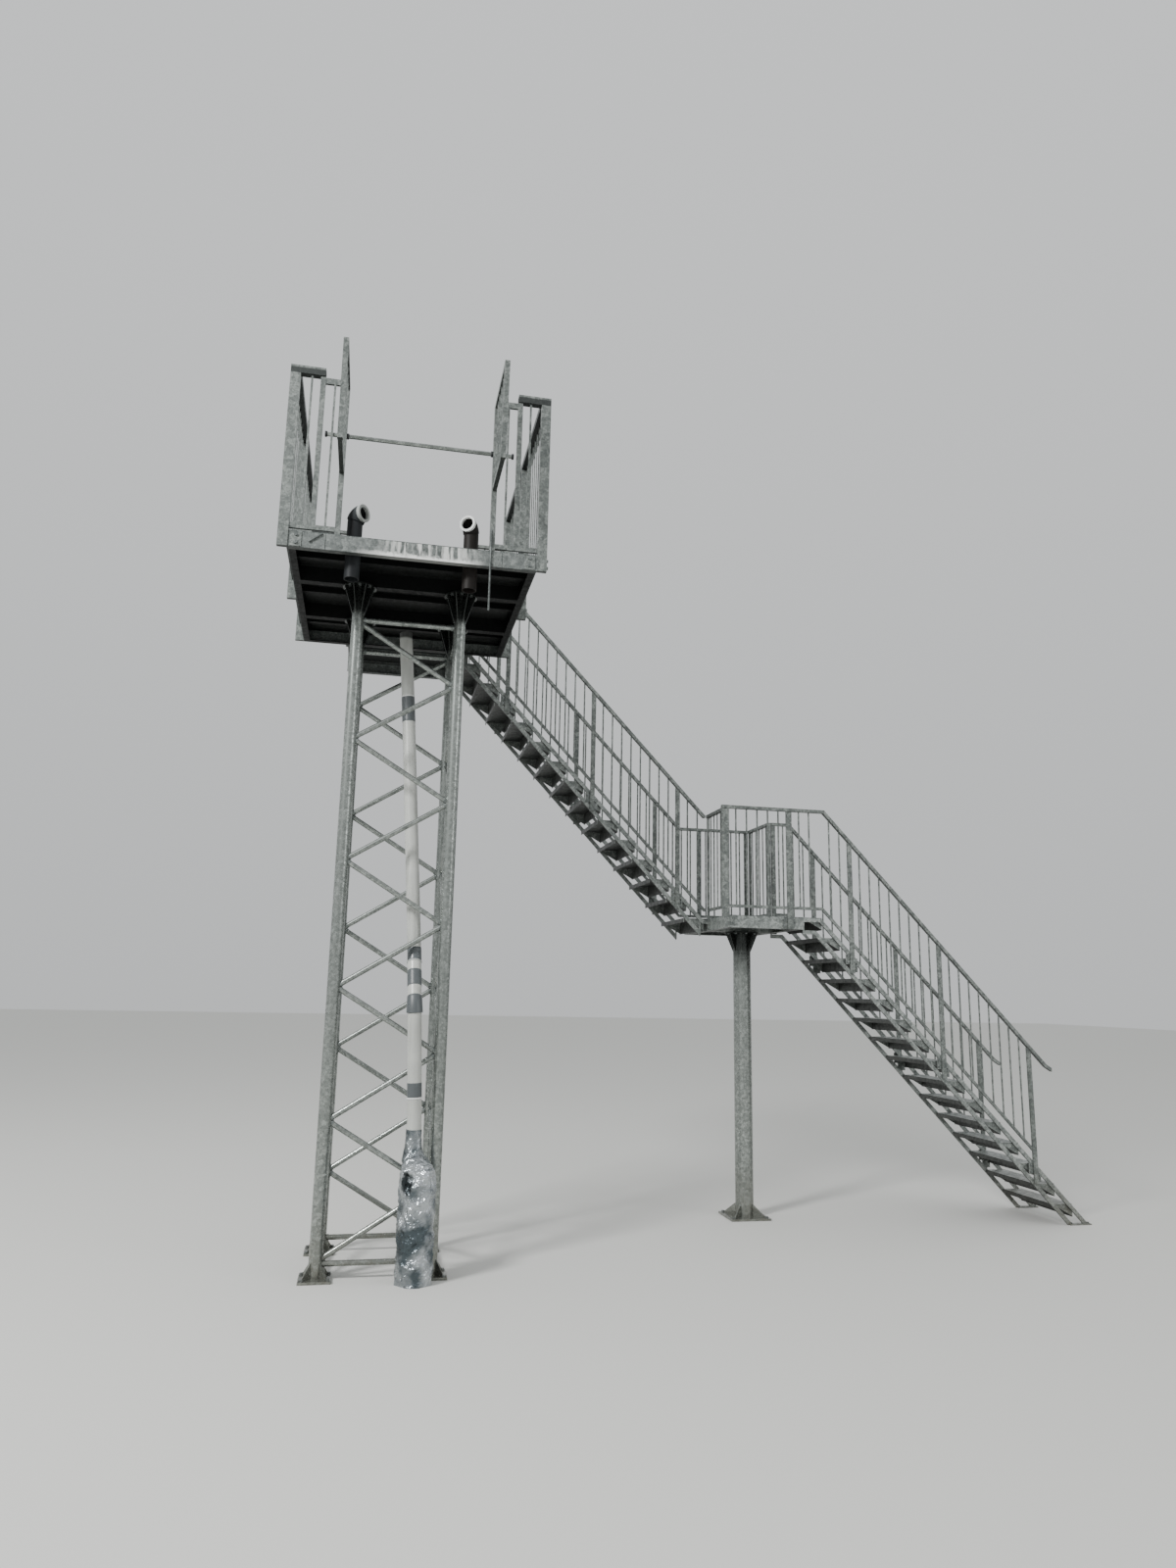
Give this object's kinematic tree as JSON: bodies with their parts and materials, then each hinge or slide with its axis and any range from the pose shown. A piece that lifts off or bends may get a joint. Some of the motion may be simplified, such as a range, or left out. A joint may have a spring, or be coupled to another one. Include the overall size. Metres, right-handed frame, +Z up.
{
  "type": "water slide tower",
  "caption": "Galvanised steel water slide tower: start platform on a lattice mast, railings, and a stair with a landing on a round column; the slide is off.",
  "frame": {"origin": "middle of the bounding box at ground level", "axes": "+X to the right along the platform's front edge, towards the foot of the stair; +Y to the rear; +Z up"},
  "size_m": [7.9302, 3.8574, 6.9865],
  "materials": {
    "galvanised_steel": "hot-dip galvanised, weathered to a dull grey with faint spangle",
    "weathered_galvanised_steel": "hot-dip galvanised, stained and streaked",
    "floor_plate_steel": "galvanised plate, dark and dirty underneath",
    "grey_pipe_plastic": "matt pale grey with dirt",
    "dark_pipe_plastic": "matt black with a greenish film",
    "foil": "crumpled silver foil"
  },
  "bodies": {
    "root": {"mast_leg_front_left": "galvanised_steel", "mast_leg_front_right": "galvanised_steel", "mast_leg_rear_right": "galvanised_steel", "mast_leg_rear_left": "galvanised_steel", "mast_lattice_front": "galvanised_steel", "mast_lattice_left": "galvanised_steel", "mast_lattice_rear": "galvanised_steel", "mast_lattice_right": "galvanised_steel", "railing_right": "galvanised_steel", "railing_left": "galvanised_steel", "railing_front_left": "galvanised_steel", "slide_guard_left": "galvanised_steel", "railing_front_right": "galvanised_steel", "slide_guard_right": "galvanised_steel", "slide_cross_bar": "galvanised_steel", "drop_rod": "galvanised_steel", "railing_rear_left": "galvanised_steel", "railing_rear_right": "galvanised_steel", "railing_head_rear": "galvanised_steel", "railing_head_left": "galvanised_steel", "upper_railing_near": "galvanised_steel", "upper_railing_far": "galvanised_steel", "lower_railing_near": "galvanised_steel", "lower_railing_far": "galvanised_steel", "landing_column": "galvanised_steel", "landing_railing_front": "galvanised_steel", "landing_railing_left": "galvanised_steel", "landing_railing_rear": "galvanised_steel", "landing_railing_right": "galvanised_steel", "platform_beam_front": "weathered_galvanised_steel", "platform_frame": "weathered_galvanised_steel", "stair_head_frame": "weathered_galvanised_steel", "upper_flight": "weathered_galvanised_steel", "lower_flight": "weathered_galvanised_steel", "landing_frame": "weathered_galvanised_steel", "platform_floor_front": "floor_plate_steel", "platform_floor_middle": "floor_plate_steel", "platform_floor": "floor_plate_steel", "stair_head_floor": "floor_plate_steel", "landing_floor": "floor_plate_steel", "riser_pipe": "grey_pipe_plastic", "water_pipe_left": "dark_pipe_plastic", "water_pipe_right": "dark_pipe_plastic", "riser_foil_wrap": "foil"}
  },
  "joints": []
}
